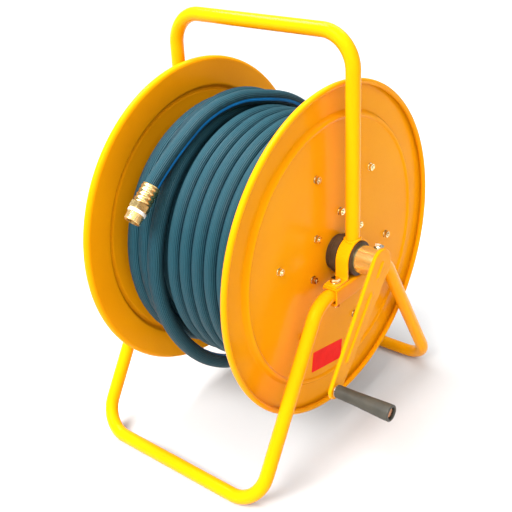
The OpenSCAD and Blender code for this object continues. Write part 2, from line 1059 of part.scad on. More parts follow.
function polar(p) = [p[2], -p[1] * cos(p[0]), p[1] * sin(p[0])];
function blend(a, b, c, d, t) = 0.5 * (2 * b + (c - a) * t + (2 * a - 5 * b + 4 * c - d) * t * t
    + (3 * b - a - 3 * c + d) * t * t * t);
function pick(i) = loose[max(0, min(len(loose) - 1, i))];
loose_n = (len(loose) - 1) * loose_steps;
function loose_at(k) = let(i = min(floor(k / loose_steps), len(loose) - 2), t = k / loose_steps - i)
    polar(blend(pick(i - 1), pick(i), pick(i + 1), pick(i + 2), t));
function unit(v) = v / norm(v);
function along(k) = unit(loose_at(min(k + 1, loose_n)) - loose_at(max(k - 1, 0)));
function ring_at(k) = let(c = loose_at(k), t = along(k), u = unit(cross([1, 0, 0], t)), v = cross(t, u))
    [for (j = [0 : loose_sides - 1]) let(a = 360 * j / loose_sides)
        c + hose_d / 2 * (cos(a) * u + sin(a) * v)];

module hose_loop() {
    pts = [for (k = [0 : loose_n]) each ring_at(k)];
    m = loose_sides;
    sides = [for (k = [0 : loose_n - 1]) for (j = [0 : m - 1])
        [k * m + j, k * m + (j + 1) % m, (k + 1) * m + (j + 1) % m, (k + 1) * m + j]];
    start_cap = [for (j = [m - 1 : -1 : 0]) j];
    end_cap = [for (j = [0 : m - 1]) loose_n * m + j];
    color([0.12, 0.34, 0.42])
        at_axle()
            polyhedron(points = pts, faces = concat([start_cap], sides, [end_cap]), convexity = 6);
}

// Frame at the free end of the hose with +Z pointing out of the fitting
module at_hose_end() {
    end = loose_at(loose_n);
    t = along(loose_n);
    at_axle()
        translate(end)
            rotate([0, acos(t[2]), atan2(t[1], t[0])])
                children();
}

module hose_ferrule() {
    color([0.85, 0.68, 0.34])
        at_hose_end()
            rotate_extrude()
                difference() {
                    union() {
                        translate([0, 0.05])
                            square([ferrule_r - 1, ferrule_len - 0.1]);
                        for (i = [0 : 3])
                            translate([ferrule_r - 2.4, 4 + i * 7])
                                circle(r = 3, $fn = 32);
                    }
                    translate([-10, -1])
                        square([20, ferrule_len + 2]);
                }
}

module hose_end_fitting() {
    hex_z = ferrule_len;
    male_z = hex_z + hex_len;
    color([0.86, 0.68, 0.32])
        at_hose_end()
            difference() {
                union() {
                    translate([0, 0, 2])
                        cylinder(r = 9.9, h = ferrule_len - 1);
                    translate([0, 0, hex_z])
                        hex_prism(hex_af, hex_len);
                    translate([0, 0, male_z - eps])
                        cylinder(r = 9.5, h = seal_len + 2);
                    translate([0, 0, male_z + seal_len])
                        cylinder(r1 = male_r, r2 = male_r - 0.6, h = male_len);
                }
                translate([0, 0, -1])
                    cylinder(r = male_bore, h = male_z + seal_len + male_len + 3);
            }
}

module hose_seal_ring() {
    color([0.95, 0.95, 0.93])
        at_hose_end()
            translate([0, 0, ferrule_len + hex_len + 0.05])
                pipe(male_r + 0.9, 9.6, seal_len - 0.1);
}

top_handle();
front_leg_frame();
rear_leg_frame();
channel_right();
channel_left();
strap_right();
strap_left();
strap_bolts();
strap_washers();
strap_nuts();
bush_right();
bush_left();
spacer_right();
spacer_left();
flange_right();
flange_left();
drum_shell();
hub_plate_right();
hub_plate_left();
drum_bolts();
drum_nuts();
hub_bolts();
hub_nuts();
axle_tube();
axle_baffle();
inlet_stub();
swivel_elbow();
swivel_circlip();
swivel_o_rings();
outlet_riser();
outlet_clamp();
crank_hub();
crank_arm();
crank_set_bolt();
crank_set_washer();
grip_bolt();
grip_washer();
grip_nut();
grip();
label();
hose_start();
hose_coil();
hose_loop();
hose_ferrule();
hose_end_fitting();
hose_seal_ring();
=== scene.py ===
import math

import bpy
from mathutils import Matrix, Vector, noise


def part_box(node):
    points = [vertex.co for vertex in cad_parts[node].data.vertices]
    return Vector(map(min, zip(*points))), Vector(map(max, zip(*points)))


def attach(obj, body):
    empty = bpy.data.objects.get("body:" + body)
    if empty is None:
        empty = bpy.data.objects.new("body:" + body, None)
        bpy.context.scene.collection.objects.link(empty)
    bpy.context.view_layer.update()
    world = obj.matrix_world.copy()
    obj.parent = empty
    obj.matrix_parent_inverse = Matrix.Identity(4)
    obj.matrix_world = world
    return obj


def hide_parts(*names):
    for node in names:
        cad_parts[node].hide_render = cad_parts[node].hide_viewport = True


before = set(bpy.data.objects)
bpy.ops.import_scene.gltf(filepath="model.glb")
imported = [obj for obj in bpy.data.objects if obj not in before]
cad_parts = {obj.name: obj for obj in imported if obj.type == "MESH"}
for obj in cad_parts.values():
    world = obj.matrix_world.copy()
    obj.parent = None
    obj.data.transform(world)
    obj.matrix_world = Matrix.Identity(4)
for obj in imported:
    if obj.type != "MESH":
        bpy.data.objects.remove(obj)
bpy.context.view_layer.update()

MM = 0.001

# ---------------------------------------------------------------- places, in millimetres
flange_box = (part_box("flange_right"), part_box("flange_left"))
AXLE_Z = (flange_box[0][0].z + flange_box[0][1].z) / 2 * 1000
REEL_X = (flange_box[0][1].x + flange_box[1][0].x) / 2 * 1000
at_axle = Matrix.Translation((REEL_X * MM, 0, AXLE_Z * MM)) @ Matrix.Scale(MM, 4)
along_x = Matrix(((0, 0, 1, 0), (1, 0, 0, 0), (0, 1, 0, 0), (0, 0, 0, 1)))
flip_x = Matrix.Diagonal((-1, 1, 1, 1))


def turn_x(deg):
    return Matrix.Rotation(math.radians(deg), 4, "X")


def turn_z(deg):
    return Matrix.Rotation(math.radians(deg), 4, "Z")


def shift(x, y, z):
    return Matrix.Translation((x, y, z))


# ---------------------------------------------------------------- camera, at the photograph's angle
AZIMUTH, ELEVATION, ROLL = 40.98, 26.50, -2.99
LENS, SENSOR_WIDTH = 61.03, 36.0
CAMERA_AT = (0.78814, -0.98335, 0.92087)
az, el, ro = (math.radians(a) for a in (AZIMUTH, ELEVATION, ROLL))
back = Vector((math.sin(az) * math.cos(el), -math.cos(az) * math.cos(el), math.sin(el)))
right = (-back).cross(Vector((0, 0, 1))).normalized()
upward = right.cross(-back)
cam_right = right * math.cos(ro) + upward * math.sin(ro)
cam_up = upward * math.cos(ro) - right * math.sin(ro)
cam_data = bpy.data.cameras.new("camera")
cam_data.lens, cam_data.sensor_width = LENS, SENSOR_WIDTH
cam_data.clip_end = 50
camera = bpy.data.objects.new("camera", cam_data)
bpy.context.scene.collection.objects.link(camera)
camera.matrix_world = Matrix((
    (cam_right.x, cam_up.x, back.x, CAMERA_AT[0]),
    (cam_right.y, cam_up.y, back.y, CAMERA_AT[1]),
    (cam_right.z, cam_up.z, back.z, CAMERA_AT[2]),
    (0, 0, 0, 1),
))
bpy.context.scene.camera = camera


# ---------------------------------------------------------------- materials
def sock(node, name, value):
    node.inputs[name].default_value = value


def new_material(name):
    m = bpy.data.materials.new(name)
    m.use_nodes = True
    return m, m.node_tree, m.node_tree.nodes["Principled BSDF"]


def add(tree, kind, **values):
    node = tree.nodes.new(kind)
    for key, value in values.items():
        setattr(node, key, value)
    return node


def noise_tex(tree, scale, detail=3.0, rough=0.5, stretch=None):
    tc = add(tree, "ShaderNodeTexCoord")
    tex = add(tree, "ShaderNodeTexNoise")
    sock(tex, "Scale", scale)
    sock(tex, "Detail", detail)
    sock(tex, "Roughness", rough)
    if stretch:
        mp = add(tree, "ShaderNodeMapping")
        sock(mp, "Scale", stretch)
        tree.links.new(tc.outputs["Object"], mp.inputs["Vector"])
        tree.links.new(mp.outputs["Vector"], tex.inputs["Vector"])
    else:
        tree.links.new(tc.outputs["Object"], tex.inputs["Vector"])
    return tex.outputs["Fac"]


def ramp(tree, fac, stops):
    node = add(tree, "ShaderNodeValToRGB")
    els = node.color_ramp.elements
    while len(els) < len(stops):
        els.new(0.5)
    for e, (pos, col) in zip(els, stops):
        e.position = pos
        e.color = (*col, 1)
    tree.links.new(fac, node.inputs["Fac"])
    return node.outputs["Color"]


def span(tree, fac, lo, hi, a=0.0, b=1.0):
    node = add(tree, "ShaderNodeMapRange")
    for key, value in (("From Min", a), ("From Max", b), ("To Min", lo), ("To Max", hi)):
        sock(node, key, value)
    tree.links.new(fac, node.inputs["Value"])
    return node.outputs["Result"]


def math_node(tree, op, a, b=None):
    node = add(tree, "ShaderNodeMath", operation=op)
    for i, v in enumerate((a, b)):
        if v is None:
            continue
        if isinstance(v, (int, float)):
            node.inputs[i].default_value = v
        else:
            tree.links.new(v, node.inputs[i])
    return node.outputs[0]


def mix_colour(tree, fac, a, b):
    node = add(tree, "ShaderNodeMix", data_type="RGBA")
    if isinstance(fac, (int, float)):
        node.inputs["Factor"].default_value = fac
    else:
        tree.links.new(fac, node.inputs["Factor"])
    for key, v in (("A", a), ("B", b)):
        socket = [s for s in node.inputs if s.name == key and s.type == "RGBA"][0]
        if isinstance(v, tuple):
            socket.default_value = (*v, 1)
        else:
            tree.links.new(v, socket)
    return [s for s in node.outputs if s.type == "RGBA"][0]


def bump(tree, bsdf, height, strength, distance, after=None):
    node = add(tree, "ShaderNodeBump")
    sock(node, "Strength", strength)
    sock(node, "Distance", distance)
    tree.links.new(height, node.inputs["Height"])
    if after:
        tree.links.new(after, node.inputs["Normal"])
    tree.links.new(node.outputs["Normal"], bsdf.inputs["Normal"])
    return node.outputs["Normal"]


def paint(name, base, deep, rough, waves, level, swell):
    """Gloss powder coat: a fine orange peel and a slightly uneven film."""
    m, t, b = new_material(name)
    cloud = noise_tex(t, 9, 4, 0.6)
    col = ramp(t, cloud, [(0.30, deep), (0.70, base)])
    fine = span(t, noise_tex(t, 260, 2, 0.5), 0.0, 0.12, 0.5, 0.8)
    t.links.new(mix_colour(t, fine, col, tuple(c * 0.85 for c in deep)), b.inputs["Base Color"])
    gloss = span(t, noise_tex(t, 34, 5, 0.6), rough * 0.85, rough * 1.25, 0.3, 0.7)
    t.links.new(gloss, b.inputs["Roughness"])
    sock(b, "Specular IOR Level", level)
    sock(b, "Specular Tint", (1.0, 0.60, 0.03, 1))
    first = bump(t, b, noise_tex(t, 700, 2, 0.5), 0.05, 0.0005)
    bump(t, b, noise_tex(t, waves, 1, 0.4), swell, 0.004, first)
    return m


def metal(name, light, dark, rough, scale=60, stretch=None, tint=None, peel=0.05, body=1.0):
    """Plated or plain metal, clouded between two tones, with patches of a third where it has a tint."""
    m, t, b = new_material(name)
    cloud = noise_tex(t, scale, 4, 0.6, stretch=stretch)
    col = ramp(t, cloud, [(0.32, dark), (0.68, light)])
    if tint:
        patches = span(t, noise_tex(t, scale * 0.45, 2, 0.5, stretch=stretch), 0.0, 0.75, 0.42, 0.66)
        col = mix_colour(t, patches, col, tint)
    t.links.new(col, b.inputs["Base Color"])
    sock(b, "Metallic", body)
    gloss = span(t, noise_tex(t, scale * 3, 4, 0.65, stretch=stretch), rough * 0.7, rough * 1.5, 0.3, 0.7)
    t.links.new(gloss, b.inputs["Roughness"])
    bump(t, b, noise_tex(t, scale * 8, 3, 0.6, stretch=stretch), peel, 0.0004)
    return m


def plastic(name, base, deep, rough, grain, depth=0.25, level=0.5):
    """Plastic, rubber or printed film: two close tones under a fine grain."""
    m, t, b = new_material(name)
    t.links.new(ramp(t, noise_tex(t, 55, 4, 0.6), [(0.3, deep), (0.7, base)]), b.inputs["Base Color"])
    t.links.new(span(t, noise_tex(t, 120, 3, 0.6), rough * 0.85, min(1, rough * 1.2), 0.3, 0.7),
                b.inputs["Roughness"])
    sock(b, "Specular IOR Level", level)
    bump(t, b, noise_tex(t, grain, 2, 0.5), depth, 0.0004)
    return m


# the stripe on the hose, as fractions of the way round it
STRIPE_U = 262 / 360
STRIPE_HALF = 12 / 360
RIBS = 28


def hose_material():
    """Ribbed rubber cover: colour by length and round the tube, with a painted highlight along the outward
    crest of each turn, painted shade on its sides and in the rib grooves, and one blue stripe along it.
    """
    m, t, b = new_material("hose_rubber")
    tc = add(t, "ShaderNodeTexCoord")
    parts = add(t, "ShaderNodeSeparateXYZ")
    t.links.new(tc.outputs["UV"], parts.inputs[0])
    u = parts.outputs[0]
    mottle = noise_tex(t, 42, 5, 0.65)
    speck = noise_tex(t, 520, 2, 0.6)
    base = ramp(t, mottle, [(0.32, (0.001, 0.021, 0.033)), (0.68, (0.002, 0.034, 0.050))])
    # painted highlight and shade: the outward crest of each turn is lighter, and its sides, where the turns
    # meet, are darker
    painted_crest_light = math_node(t, "COSINE", math_node(t, "MULTIPLY", u, 2 * math.pi))
    base = mix_colour(t, span(t, painted_crest_light, 0.0, 0.75, 0.35, 1.0), base, (0.012, 0.070, 0.094))
    base = mix_colour(t, span(t, speck, 0.0, 0.45, 0.52, 0.8), base, (0.008, 0.066, 0.092))
    # chalky bloom, stretched along the hose
    streak = add(t, "ShaderNodeTexNoise")
    sock(streak, "Scale", 1.0)
    sock(streak, "Detail", 4.0)
    mp = add(t, "ShaderNodeMapping")
    sock(mp, "Scale", (22.0, 9.0, 1.0))
    t.links.new(tc.outputs["UV"], mp.inputs["Vector"])
    t.links.new(mp.outputs["Vector"], streak.inputs["Vector"])
    base = mix_colour(t, span(t, streak.outputs["Fac"], 0.0, 0.40, 0.48, 0.72), base, (0.010, 0.066, 0.092))
    rib = math_node(t, "SINE", math_node(t, "MULTIPLY", u, 2 * math.pi * RIBS))
    off = math_node(t, "ABSOLUTE", math_node(t, "SUBTRACT", u, STRIPE_U))
    inside = span(t, off, 1.0, 0.0, STRIPE_HALF * 0.82, STRIPE_HALF)
    stripe = ramp(t, mottle, [(0.3, (0.000, 0.150, 0.460)), (0.7, (0.002, 0.195, 0.580))])
    # painted shade: the troughs between the ribs are darker
    painted_groove_shade = span(t, rib, 0.50, 0.0, -1.0, 0.1)
    base = mix_colour(t, painted_groove_shade, base, (0.004, 0.022, 0.032))
    t.links.new(mix_colour(t, inside, base, stripe), b.inputs["Base Color"])
    t.links.new(span(t, mottle, 0.44, 0.58, 0.3, 0.7), b.inputs["Roughness"])
    sock(b, "Specular IOR Level", 0.19)
    sock(b, "Sheen Weight", 0.03)
    sock(b, "Sheen Roughness", 0.45)
    sock(b, "Sheen Tint", (0.60, 0.72, 0.78, 1))
    first = bump(t, b, rib, 0.45, 0.0010)
    bump(t, b, speck, 0.12, 0.0004, first)
    return m


# reel_paint is frame_paint darkened by about a sixth with the same hue: painted shade on the flanges, drum,
# crank arm and channels
PAINT_FRAME = paint("frame_paint", (0.96, 0.370, 0.002), (0.94, 0.338, 0.002), 0.15, 26, 0.18, 0.012)
PAINT_REEL_SHADED = paint("reel_paint", (0.81, 0.312, 0.002), (0.79, 0.286, 0.002), 0.19, 14, 0.09, 0.05)
ZINC = metal("yellow_zinc", (1.0, 0.94, 0.60), (0.72, 0.52, 0.16), 0.12, 90, tint=(0.42, 0.24, 0.09))
ZINC_TUBE = metal("yellow_zinc_tube", (0.97, 0.95, 0.56), (0.78, 0.68, 0.24), 0.18, 24,
                  stretch=(0.15, 1.2, 1.2), tint=(0.94, 0.82, 0.50), peel=0.01, body=0.92)
BRIGHT = metal("bright_zinc", (0.88, 0.84, 0.74), (0.62, 0.56, 0.46), 0.22, 70)
STEEL = metal("plain_steel", (0.66, 0.66, 0.64), (0.42, 0.42, 0.41), 0.36, 40)
# the grip bolt's copper is much darker than bare copper: painted shade of the recess in the grip's end, where
# it sits
COPPER = metal("copper_bolt", (0.50, 0.22, 0.10), (0.14, 0.06, 0.03), 0.26, 80)
BRASS = metal("brass", (0.90, 0.72, 0.36), (0.72, 0.51, 0.20), 0.26, 34, peel=0.01)
BUSH = plastic("bush_plastic", (0.082, 0.045, 0.022), (0.046, 0.025, 0.012), 0.40, 500, 0.12, 0.14)
GRIP = plastic("grip_plastic", (0.060, 0.056, 0.043), (0.038, 0.036, 0.028), 0.46, 900, 0.30, 0.30)
WHITE = plastic("white_ring", (0.86, 0.86, 0.83), (0.74, 0.74, 0.70), 0.45, 400, 0.3)
SEAL = plastic("seal_rubber", (0.030, 0.030, 0.031), (0.018, 0.018, 0.019), 0.60, 500, 0.2)
RED = plastic("label_red", (0.86, 0.012, 0.006), (0.78, 0.009, 0.005), 0.42, 160, 0.05, 0.06)
HOSE = hose_material()


# ---------------------------------------------------------------- mesh helpers
class Shape:
    """Faces of one piece, gathered from several parts."""

    def __init__(self):
        self.verts, self.faces, self.uvs = [], [], []

    def put(self, verts, faces, place=None, uvs=None):
        n = len(self.verts)
        flip = place is not None and place.determinant() < 0
        self.verts += [place @ Vector(v) if place is not None else Vector(v) for v in verts]
        for i, f in enumerate(faces):
            g = [n + k for k in f]
            self.faces.append(g[::-1] if flip else g)
            if uvs:
                self.uvs.append(uvs[i][::-1] if flip else uvs[i])
        return self

    def make(self, name, body, slot, material, replaces=(), angle=32, bevel=0.0):
        mesh = bpy.data.meshes.new(name)
        mesh.from_pydata(self.verts, [], self.faces)
        if self.uvs:
            layer = mesh.uv_layers.new(name="UVMap")
            layer.data.foreach_set("uv", [c for f in self.uvs for p in f for c in p])
        mesh.validate()
        mesh.transform(at_axle)
        mesh.shade_smooth()
        if not bevel:
            mesh.set_sharp_from_angle(angle=math.radians(angle))
        mesh.update()
        obj = bpy.data.objects.new(name, mesh)
        bpy.context.scene.collection.objects.link(obj)
        obj.data.materials.append(material)
        if bevel:
            mod = obj.modifiers.new("edges", "BEVEL")
            mod.width, mod.segments, mod.limit_method = bevel * MM, 3, "ANGLE"
            mod.angle_limit = math.radians(angle)
            mod.harden_normals = True
        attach(obj, body)
        if replaces:
            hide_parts(*replaces)
        return obj


def lathe(profile, n=64, closed=False):
    """Rings of the profile, (radius, height) pairs, about Z. A radius of 0 makes a point."""
    verts, faces, rows = [], [], []
    for r, z in profile:
        if r < 1e-6:
            rows.append([len(verts)] * n)
            verts.append((0, 0, z))
        else:
            rows.append(list(range(len(verts), len(verts) + n)))
            verts += [(r * math.cos(2 * math.pi * k / n), r * math.sin(2 * math.pi * k / n), z)
                      for k in range(n)]
    pairs = list(zip(rows, rows[1:] + ([rows[0]] if closed else [])))
    for a, b in pairs[: len(rows) if closed else len(rows) - 1]:
        for k in range(n):
            q = [a[k], a[(k + 1) % n], b[(k + 1) % n], b[k]]
            q = [x for i, x in enumerate(q) if x != q[i - 1]]
            if len(set(q)) > 2:
                faces.append(q)
    return verts, faces


def arc2(c, r, a0, a1, n):
    """Points on an arc round c, from angle a0 to a1 in degrees."""
    return [(c[0] + r * math.cos(math.radians(a0 + (a1 - a0) * i / n)),
             c[1] + r * math.sin(math.radians(a0 + (a1 - a0) * i / n))) for i in range(n + 1)]


def extrude(outline, depth):
    """Prism of a closed outline, counter-clockwise in XY, from z = 0 to depth."""
    n = len(outline)
    verts = [(x, y, 0) for x, y in outline] + [(x, y, depth) for x, y in outline]
    faces = [[k, (k + 1) % n, n + (k + 1) % n, n + k] for k in range(n)]
    return verts, faces + [list(range(n))[::-1], [n + k for k in range(n)]]


def hex_radius(af, k, n):
    a = (360 * k / n) % 60 - 30
    return af / 2 / math.cos(math.radians(a))


def hex_head(af, h, bore=0.0, n=48):
    """Hexagon with turned chamfers at both ends, as bolts and nuts have."""
    chamfer = math.tan(math.radians(28))
    flat = af / 2 * 0.96
    verts, rows = [], []
    for ring in range(6):
        rows.append(list(range(len(verts), len(verts) + n)))
        for k in range(n):
            rh = hex_radius(af, k, n)
            cut = max(0, (rh - flat)) * chamfer
            r, z = [(bore, 0.0), (flat, 0.0), (rh, cut * 0.6), (rh, h - cut), (flat, h), (bore, h)][ring]
            verts.append((r * math.cos(2 * math.pi * k / n), r * math.sin(2 * math.pi * k / n), z))
    faces = []
    for a, b in zip(rows, rows[1:]):
        for k in range(n):
            faces.append([a[k], a[(k + 1) % n], b[(k + 1) % n], b[k]])
    if bore <= 0:
        faces = [f for f in faces if not (f[0] in rows[0] or f[2] in rows[5])]
        faces += [rows[1][::-1], rows[4]]
    return verts, faces


def screw_thread(r, z0, z1, pitch, depth, n=20, per=4, bore=0.0):
    """Rod with a helical thread from z0 to z1 and a chamfered end at z1."""
    steps = max(2, int((z1 - z0) / pitch * per))
    verts, rows = [], []

    def ring(radius_at, z):
        rows.append(list(range(len(verts), len(verts) + n)))
        for k in range(n):
            a = 2 * math.pi * k / n
            rr = radius_at(a)
            verts.append((rr * math.cos(a), rr * math.sin(a), z))

    for s in range(steps + 1):
        z = z0 + (z1 - z0) * s / steps
        left = (z1 - z) / (1.2 * depth)
        ring(lambda a: min(r - depth * (0.5 + 0.5 * math.cos(2 * math.pi * z / pitch - a)),
                           r - depth * max(0.0, 1 - left) * 1.1), z)
    ring(lambda a: max(bore, 0.01), z1)
    if bore:
        ring(lambda a: bore, z0)
    faces = []
    for a, b in zip(rows, rows[1:]):
        for k in range(n):
            faces.append([a[k], a[(k + 1) % n], b[(k + 1) % n], b[k]])
    return verts, faces


def sweep(points, ups, radius, sides, length_uv=1.0, caps=True):
    """Round tube along points. Its first side faces ups, and the others follow towards cross(tangent, up)."""
    n = len(points)
    verts, faces, uvs, run = [], [], [], 0.0
    runs = []
    for i, p in enumerate(points):
        tan = (points[min(i + 1, n - 1)] - points[max(i - 1, 0)]).normalized()
        up = (ups[i] - tan * ups[i].dot(tan)).normalized()
        side = tan.cross(up)
        if i:
            run += (p - points[i - 1]).length
        runs.append(run * length_uv)
        r = radius(i) if callable(radius) else radius
        for k in range(sides):
            a = 2 * math.pi * k / sides
            verts.append(p + (up * math.cos(a) + side * math.sin(a)) * r)
    for i in range(n - 1):
        for k in range(sides):
            j = (k + 1) % sides
            faces.append([i * sides + k, i * sides + j, (i + 1) * sides + j, (i + 1) * sides + k])
            u0, u1 = k / sides, (k + 1) / sides
            uvs.append([(u0, runs[i]), (u1, runs[i]), (u1, runs[i + 1]), (u0, runs[i + 1])])
    if caps:
        faces.append(list(range(sides))[::-1])
        uvs.append([(0, 0)] * sides)
        faces.append([(n - 1) * sides + k for k in range(sides)])
        uvs.append([(0, runs[-1])] * sides)
    return verts, faces, uvs


# ---------------------------------------------------------------- hose
HOSE_R, PITCH = 12.0, 24.2
INNER_R, OUTER_R = 174.3, 196.1
INNER_X = [-121 + PITCH * i for i in range(11)]
OUTER_X = [108 - PITCH * i for i in range(6)]
START_PSI, CROSSING = 250.9, 62.0
SAG, SAG_AT = 5.5, 112
TWIST, SIDES = 62, 24
ROUND = 75.4
LEFT_TURNS = [
    (250, 196, -13), (238, 197, -19), (225, 197, -30), (212, 197, -42), (200, 197.5, -55),
    (187, 198, -68), (175, 198, -78), (162, 198, -86), (150, 198, -90), (130, 198, -93),
    (100, 198, -93.5), (68, 198, -94.5), (48, 198, -96), (27, 198, -97), (0, 198, -97.5),
    (-40, 198, -97.5), (-80, 198, -97.5), (-110, 198, -97.5), (-135, 200, -96.5), (-152, 204, -92),
    (-170, 212, -86), (-185, 220, -80), (-210, 217, -74), (-230, 212, -73), (-260, 210, -73),
    (-292, 205, -72.5), (-315, 199, -73), (-340, 198, -73), (-380, 198, -73), (-420, 198, -73),
    (-455, 198, -73),
]
LOOSE = [
    (250, 199, -72.5), (230, 203, -71), (205, 216, -65), (180, 219, -58), (150, 213, -51),
    (120, 204, -48), (100, 199, -48), (80, 198, -48), (60, 198, -48), (40, 199, -48), (20, 201, -48),
    (0, 207, -46.5), (-20, 213, -44), (-40, 221, -41), (-60, 233, -40), (-80, 246, -40),
    (-95, 250, -40), (-110, 249, -40), (-130, 242, -38), (-150, 233, -34), (-180, 225, -28),
    (-210, 219, -24), (-235, 215, -24), (-252, 212, -25), (-262, 213, -28), (-272, 217, -34),
    (-284, 220, -40), (-294, 221, -44), (-303, 221, -46), (-312, 223.5, -48), (-319, 228.5, -48.5),
    (-326, 235.5, -48.5),
]


def polar(psi, r, x):
    """psi is the angle about the axle from the front, over the top."""
    a = math.radians(psi)
    return Vector((x, -r * math.cos(a), r * math.sin(a)))


def smooth(t):
    t = max(0.0, min(1.0, t))
    return t * t * (3 - 2 * t)


def sag(psi):
    """The turns of the outer layer lie lower over the top of the back, where they are pulled tight."""
    away = psi - SAG_AT
    return SAG * max(0.0, math.cos(math.radians(away * 1.1))) ** 2 if abs(away) < 80 else 0.0


def wound_points():
    """Turn after turn: each crosses to its place beside the last one low at the back."""
    xs = INNER_X + OUTER_X
    rs = [INNER_R] * len(INNER_X) + [OUTER_R] * len(OUTER_X)
    pts, step = [], 3.0
    for i in range(len(xs)):
        a = 0.0
        while a < 360 - 1e-6:
            s = smooth(a / CROSSING) if i else 1.0
            x = xs[i - 1] + (xs[i] - xs[i - 1]) * s if i else xs[0]
            r = rs[i - 1] + (rs[i] - rs[i - 1]) * smooth(a / CROSSING * 1.6) if i else rs[0]
            if i > len(INNER_X):
                r += 2.2 * math.sin(math.pi * min(1, a / CROSSING))
            if i >= len(INNER_X):
                r -= sag(START_PSI - a)
            wob = noise.noise(Vector((i * 3.1, a / 55, 0.3)))
            drift = noise.noise(Vector((i * 1.7, a / 80, 5.3)))
            if i < len(xs) - 1:
                x, r = x + 0.12 * drift, r + 0.4 * wob
            pts.append(polar(START_PSI - a, r, x))
            a += step
    return pts


def catmull(a, b, c, d, t):
    return 0.5 * (2 * b + (c - a) * t + (2 * a - 5 * b + 4 * c - d) * t * t
                  + (3 * b - a - 3 * c + d) * t ** 3)


STEPS = 8


def loose_points(places, steps):
    """Smooth curve through given places, each (psi, radius, x)."""
    knots = [Vector(k) for k in places]
    n = len(knots)
    out = []
    for k in range((n - 1) * steps + 1):
        i = min(k // steps, n - 2)
        q = [knots[max(0, min(n - 1, j))] for j in (i - 1, i, i + 1, i + 2)]
        out.append(polar(*catmull(*q, k / steps - i)))
    return out


# the loose end lies two whole turns further round, where the left turns end
free = [(p[0] - 720, p[1], p[2]) for p in LOOSE]
loose = loose_points(LEFT_TURNS + free, STEPS)
hose_pts = wound_points() + loose
# the free end has turned about its own line, so that its stripe comes back into view near the fitting
twist_in, twist_out = len(hose_pts) - len(loose), len(hose_pts) - 8 * STEPS
hose_ups = []
for i, p in enumerate(hose_pts):
    a = math.radians(TWIST) * smooth((i - twist_in) / 90) * (1 - smooth((i - twist_out + 60) / 60))
    hose_ups.append(Vector((0, p.y, p.z)).normalized() * math.cos(a) + Vector((math.sin(a), 0, 0)))
tube = sweep(hose_pts, hose_ups, HOSE_R, SIDES, 1 / ROUND)
hose = Shape().put(tube[0], tube[1], None, tube[2]).make(
    "hose", "reel", "hose_rubber", HOSE, ("hose_start", "hose_coil", "hose_loop"), angle=60)

# frame at the free end, +Z out of the fitting
hose_end = loose[-1]
end_dir = (loose[-1] - loose[-4]).normalized()
end_place = Matrix.Translation(hose_end) @ end_dir.to_track_quat("Z", "Y").to_matrix().to_4x4()

# crimped ferrule
profile = [(12.2, -0.4), (13.2, -0.3), (13.6, 0.1)]
profile += [(13.55 + 0.60 * math.cos(2 * math.pi * (i - 6) / 12), 0.4 + i * 7.1 / 12) for i in range(1, 49)]
profile += [(13.3, 29.6), (12.0, 30.0), (9.0, 30.0)]
ferrule = Shape().put(*lathe(profile, 56), end_place).make(
    "ferrule", "reel", "brass", BRASS, ("hose_ferrule",))
# hexagon, neck and threaded male end with its bore
fitting_shape = Shape()
fitting_shape.put(*hex_head(27, 11, 7.5), end_place @ shift(0, 0, 30))
fitting_shape.put(*lathe([(9.5, 40.8), (9.5, 47)], 40), end_place)
fitting_shape.put(*screw_thread(13.2, 46, 59, 1.8, 0.75, 40, 5, 7.5), end_place)
fitting = fitting_shape.make("male_fitting", "reel", "brass", BRASS, ("hose_end_fitting",), angle=40)
seal_ring = Shape().put(*lathe(
    [(9.6, 41.05), (13.4, 41.05)] + arc2((13.4, 41.85), 0.8, -90, 0, 4) + arc2((13.4, 45.1), 0.8, 0, 90, 4)
    + [(9.6, 45.9)], 48, True), end_place).make(
    "white_seal", "reel", "white_ring", WHITE, ("hose_seal_ring",))


# ---------------------------------------------------------------- flanges: pressed bead and rolled rim
PLATE_X, SHEET, BEND, CURL_R, LIP = 137.75, 1.5, 3.25, 3.45, 6.25
BAND_X = PLATE_X - 5
BEAD_R = 211.5
BEAD_IN = BEAD_R - BEND * 2 * math.cos(math.radians(30))
BAND_R = BEAD_R + BEND * 2 * math.cos(math.radians(30)) + 5 / math.tan(math.radians(60))
LIP_R = 264 - LIP - SHEET / 2


def flange_face(f):
    h = f * SHEET / 2
    return ([(22.5, PLATE_X + h), (60, PLATE_X + h), (120, PLATE_X + h), (180, PLATE_X + h)]
            + arc2((BEAD_IN, PLATE_X + BEND), BEND - h, -90, -30, 6)
            + arc2((BEAD_R, PLATE_X), BEND + h, 150, 30, 12)
            + arc2((BAND_R, BAND_X + BEND), BEND - h, 210, 270, 6)
            + [(BAND_R + 15, BAND_X + h)]
            + arc2((LIP_R, BAND_X + LIP), LIP - h, -90, 0, 8)
            + arc2((LIP_R + LIP - CURL_R, 138.5 + 1.7), CURL_R - h, 0, 235, 22))


flange_loop = flange_face(-1) + flange_face(1)[::-1]
for sign, name in ((1, "right"), (-1, "left")):
    place = along_x if sign > 0 else flip_x @ along_x
    Shape().put(*lathe(flange_loop, 224, True), place).make(
        f"flange_{name}_sheet", "reel", "reel_paint", PAINT_REEL_SHADED, (f"flange_{name}",), angle=50)


# ---------------------------------------------------------------- bolts and nuts of the flanges
def bolt_places(radius, first):
    for mirror in (Matrix.Identity(4), flip_x):
        for i in range(6):
            yield mirror @ turn_x(first + i * 60) @ shift(0, radius, 0) @ along_x @ turn_z(17 * i + first)


